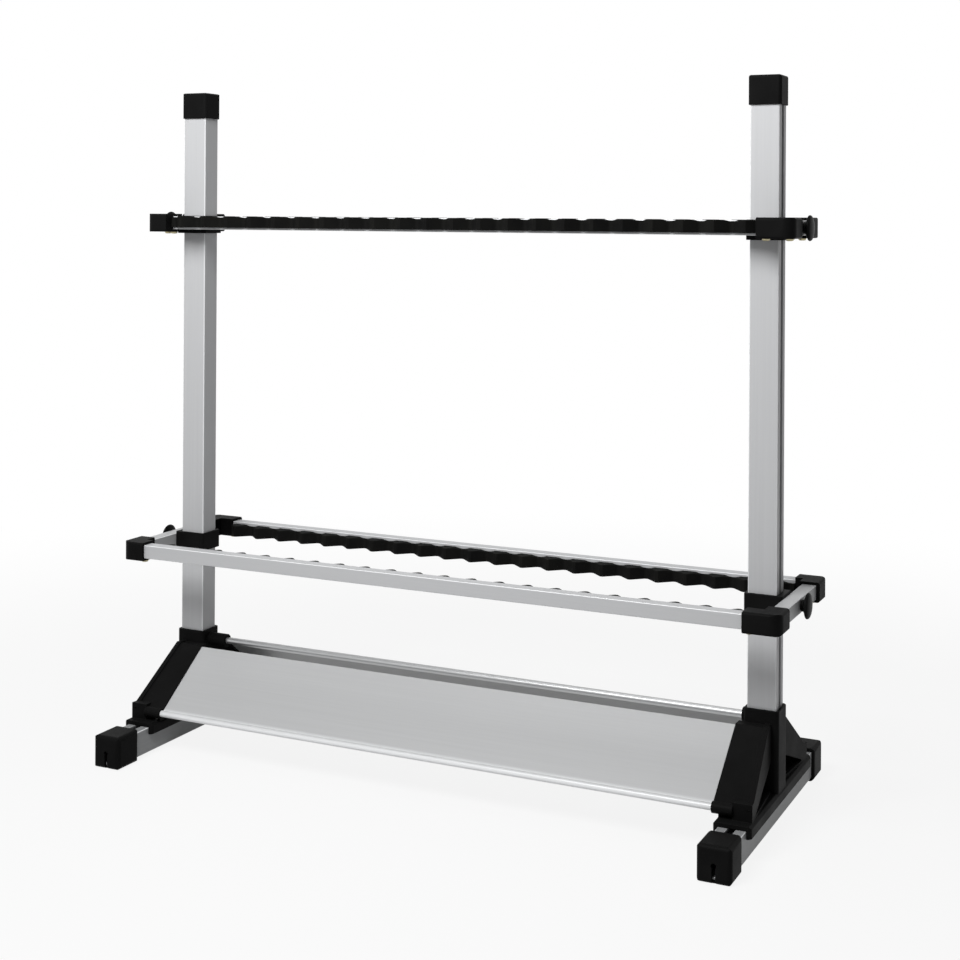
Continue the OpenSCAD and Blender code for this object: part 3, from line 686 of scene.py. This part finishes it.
def grow(name, tree, values, mesh=None):
    """An object made by the tree, with the tree's inputs set by name."""
    piece = new_object(name, mesh or bpy.data.meshes.new(name))
    step = piece.modifiers.new(tree.name, "NODES")
    step.node_group = tree
    for item in tree.interface.items_tree:
        if item.in_out == "INPUT" and item.name in values:
            step[item.identifier] = values[item.name]
    bake(piece)
    return piece


def face_outwards(piece):
    """Turn all faces of a closed piece outwards."""
    shape = bmesh.new()
    shape.from_mesh(piece.data)
    bmesh.ops.recalc_face_normals(shape, faces=shape.faces)
    shape.to_mesh(piece.data)
    shape.free()


def rod_strip(node, section, faces_rear):
    """Half a strip that opens towards +Y, or turned round towards -Y."""
    low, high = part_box(node)
    ends = (low.x, high.x) if faces_rear else (-high.x, -low.x)
    strip = grow(node + "_moulding", strip_tree, {
        "Section": section, "From": ends[0], "To": ends[1], **NOTCHES})
    back = high.y - STRIP_DEPTH if faces_rear else low.y + STRIP_DEPTH
    turn = Matrix.Identity(4) if faces_rear else Matrix.Rotation(math.pi, 4, "Z")
    strip.data.transform(Matrix.Translation((0, back, (low.z + high.z) / 2)) @ turn)
    face_outwards(strip)
    soften(strip, sharp=25)
    hand_in(strip, soft_black, node)
    return len(strip.data.polygons)


for level in LEVELS:
    # the upper strips sit above the rail's groove, the lower ones below it
    outline = strip_section(-TONGUE_SHIFT if level == "upper" else TONGUE_SHIFT)
    for end in ENDS:
        # the upper strips look away from the posts, the lower ones inwards
        faces_rear = (level == "upper") == (end == "rear")
        counts = [rod_strip(f"{level}_{end}_strip_{side}", outline, faces_rear)
                  for side in SIDES]
        print(level, end, "strip faces:", counts)
    bpy.data.objects.remove(outline)

# %% [markdown]
# ## Screws and bolts: the shapes
# The frames are held by sixteen pan-head screws from below, the brackets by
# four hexagon bolts and two screws into the posts. All of them are turned
# shapes, so one helper turns a profile about Z. With only six steps the same
# helper makes a hexagon.

# %% Turning a profile
ON_AXIS = 1e-7              # a smaller radius in metres is the axis itself
HEXAGON, ROUND, FINE = 6, 32, 96            # steps for a full turn


def lathe(name, profile, steps):
    """Turn a (radius, height) profile about Z into a closed mesh object."""
    shape = bmesh.new()
    rings = []
    for radius, height in profile:
        turns = [0] if radius < ON_AXIS else [2 * math.pi * i / steps for i in range(steps)]
        rings.append([shape.verts.new((radius * math.cos(turn), radius * math.sin(turn), height))
                      for turn in turns])
    for lower, upper in zip(rings, rings[1:]):
        for i in range(steps):
            j = (i + 1) % steps
            loop = [lower[i % len(lower)], lower[j % len(lower)],
                    upper[j % len(upper)], upper[i % len(upper)]]
            corners = [v for k, v in enumerate(loop) if v not in loop[:k]]
            if len(corners) > 2:
                shape.faces.new(corners)
    bmesh.ops.recalc_face_normals(shape, faces=shape.faces)
    return as_object(shape, name)


# %% [markdown]
# A pan head is a low dome with a cross recess. The recess is two slots, cut by
# a Boolean, because a real recess is a hole and not a painted cross. One head
# of each kind is enough; the copies come later.

# %% Pan-head screws
def cutter(name, half_x, half_y, low, high):
    """A plain box about the Z axis, used only to cut with."""
    shape = bmesh.new()
    bmesh.ops.create_cube(shape, size=1)
    for vert in shape.verts:
        x, y, z = vert.co
        vert.co = (2 * x * half_x, 2 * y * half_y, z * (high - low) + (high + low) / 2)
    return as_object(shape, name)


def cut_away(piece, tools):
    """Subtract the tools from the piece and throw them away."""
    for tool in tools:
        cut = piece.modifiers.new(tool.name, "BOOLEAN")
        cut.operation, cut.object, cut.solver = "DIFFERENCE", tool, "EXACT"
    bake(piece)
    for tool in tools:
        bpy.data.objects.remove(tool)


def pan_screw(name, shank_r, shank_l, head_r, head_h):
    """Head below z = 0 with a cross recess, shank above."""
    point = 0.3 * MM
    head = [(0, -1), (0.45, -0.98), (0.75, -0.88), (0.92, -0.66), (1, -0.36), (1, -0.08),
            (0.97, 0)]
    screw = lathe(name, [(r * head_r, h * head_h) for r, h in head] + [
        (shank_r, 0), (shank_r, shank_l - point), (shank_r - point, shank_l),
        (0, shank_l)], ROUND)
    arm, width, deep = 0.52 * head_r, 0.15 * head_r, 0.62 * head_h
    cut_away(screw, [cutter("slot_a", arm, width, -2 * head_h, deep - head_h),
                     cutter("slot_b", width, arm, -2 * head_h, deep - head_h)])
    return screw


CORNER_HEAD, SIDE_HEAD = 2.4 * MM, 2.5 * MM         # heights of the two heads
corner_screw = pan_screw("pan_screw", 2 * MM, 7.6 * MM, 4 * MM, CORNER_HEAD)
side_screw = pan_screw("side_screw", 2.5 * MM, 7.1 * MM, 4.5 * MM, SIDE_HEAD)
side_screw.data.transform(Matrix.Rotation(math.radians(90), 4, "X"))
print("screw faces:", len(corner_screw.data.polygons))

# %% [markdown]
# A bracket bolt is a hexagon head with a chamfer and a shallow dish, on a round
# shank that runs down through the saddle. Head and shank are two closed shapes
# in one mesh, because a hexagon and a circle don't share their points.

# %% Hexagon bolt
BOLT_HEAD = 4.5 * MM
hexagon = lathe("hex_bolt", [(r * MM, z * MM) for r, z in (
    (0, 0), (5.5, 0), (5.5, 3.7), (4.75, 4.5), (3.2, 4.5), (3.0, 4.35), (0, 4.35))], HEXAGON)
shank = lathe("bolt_shank", [(r * MM, z * MM) for r, z in (
    (0, -9.3), (2.7, -9.3), (3, -9), (3, 0.2), (0, 0.2))], ROUND)
bolt = bmesh.new()
bolt.from_mesh(hexagon.data)
bolt.from_mesh(shank.data)
bolt.to_mesh(hexagon.data)
bolt.free()
print("bolt faces:", len(hexagon.data.polygons))

# %% [markdown]
# ## Screws and bolts: the places
# The places come from the CAD node: each loose island of its mesh is one
# screw, whose box tells where its head begins. Any screw that is added to the
# CAD model then finds its finished copy by itself.

# %% Where the screws are
def islands(node):
    """Lowest and highest corner of each separate solid in a node."""
    surface = merged(node)
    left, found = set(surface.verts), []
    while left:
        stack, group = [left.pop()], []
        while stack:
            vert = stack.pop()
            group.append(vert.co.copy())
            for edge in vert.link_edges:
                other = edge.other_vert(vert)
                if other in left:
                    left.remove(other)
                    stack.append(other)
        found.append([Vector(pick(v[i] for v in group) for i in range(3)) for pick in (min, max)])
    surface.free()
    return sorted(found, key=lambda pair: tuple(pair[0]))


# %% [markdown]
# Geometry Nodes put a copy at each place. A seeded random turn keeps the cross
# recesses from all pointing the same way; a turn of 0 leaves the screws as
# they were drawn.

# %% Tree that places them
screw_tree, given = new_tree("placed_screws", {
    "Screw": "Object", "Turn": "Float", "Seed": "Int", "Material": "Material"})
tree = screw_tree
spin = add_node(tree, "FunctionNodeRandomValue", {"Seed": given["Seed"]}, data_type="FLOAT")
angle = calc(tree, "MULTIPLY", spin.outputs["Value"], given["Turn"])
screw_info = add_node(tree, "GeometryNodeObjectInfo", {"Object": given["Screw"]})
placed = add_node(tree, "GeometryNodeInstanceOnPoints", {
    "Points": given["Geometry"], "Instance": screw_info.outputs["Geometry"],
    "Rotation": vector(tree, Z=angle)})
close_tree(tree, placed.outputs[0], given["Material"])


def place_screws(node, screw, place, turn, seed):
    """One piece with a screw in each island of a CAD node, which it stands for."""
    spots = [tuple(place(low, (low + high) / 2, high)) for low, high in islands(node)]
    points = bpy.data.meshes.new(node + "_points")
    points.from_pydata(spots, [], [])
    piece = grow(node + "_fixings", screw_tree, {
        "Screw": screw, "Turn": turn, "Seed": seed, "Material": zinc}, points)
    soften(piece, sharp=35)
    hand_in(piece, zinc, node)
    print(node, "placed:", len(spots))


# %% [markdown]
# The studs and nuts sit inside the posts and bars, where no finish detail
# would show. They keep their CAD meshes and only get the zinc finish.

# %% Screws, bolts, nuts and studs
for seed, level in enumerate(LEVELS, start=5):
    place_screws(f"{level}_corner_screws", corner_screw,
                 lambda low, mid, high: (mid.x, mid.y, low.z + CORNER_HEAD),
                 turn=2 * math.pi, seed=seed)
place_screws("post_fixing_screws", side_screw,
             lambda low, mid, high: (mid.x, high.y - SIDE_HEAD, mid.z), turn=0, seed=1)
place_screws("bracket_bolts", hexagon,
             lambda low, mid, high: (mid.x, mid.y, high.z - BOLT_HEAD), turn=math.pi, seed=9)
for spare in (corner_screw, side_screw, hexagon, shank):
    bpy.data.objects.remove(spare)

hidden = ["bracket_slot_nuts"] + [f"{level}_slot_nuts" for level in LEVELS] + [
    f"{level}_stud_{side}" for level in LEVELS for side in SIDES]
for node in hidden:
    for slot in frame["nodes"][node].material_slots:
        slot.material = zinc
print("left as CAD meshes:", hidden)

# %% [markdown]
# ## Clamp knobs
# A knob is a turned shape: a stem, a cone that opens to a thin round plate, and
# a shallow domed face. It is drawn as one profile and turned about its stud.
# The stud's hole stays open at the stem, and the piece rides on the knob's own
# body, because each knob turns by itself.

# %% Knobs
knob_profile = [(r * MM, z * MM) for r, z in (
    (0, 6), (3, 6), (3, 0.3), (3.3, 0),                                     # hole
    (5.6, 0), (6, 0.4), (6, 1.8), (6.35, 2.35),                             # stem
    (7.6, 3.1), (9.6, 4.05), (11.4, 4.7), (12.4, 5.15), (12.9, 5.6),        # cone
    (13, 6.1), (12.9, 6.7), (12.5, 7.3), (11.9, 7.8), (11.0, 8.25),         # rim
    (9.8, 8.6), (8.2, 8.95), (6.4, 9.2), (4.2, 9.4), (2.0, 9.48), (0, 9.5))]    # face
for level in LEVELS:
    for side, sign in zip(SIDES, (-1, 1)):
        node = f"{level}_knob_{side}"
        low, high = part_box(node)
        knob = lathe(node + "_turned", knob_profile, FINE)
        start = low.x if sign > 0 else high.x
        knob.data.transform(Matrix.Translation((start, 0, (low.z + high.z) / 2)) @
                            Matrix.Rotation(sign * math.pi / 2, 4, "Y"))
        soften(knob, sharp=40)
        hand_in(knob, knob_black, node)
print("knob faces:", len(knob.data.polygons))

# %% Colour view
bpy.context.scene.view_settings.view_transform = "Standard"
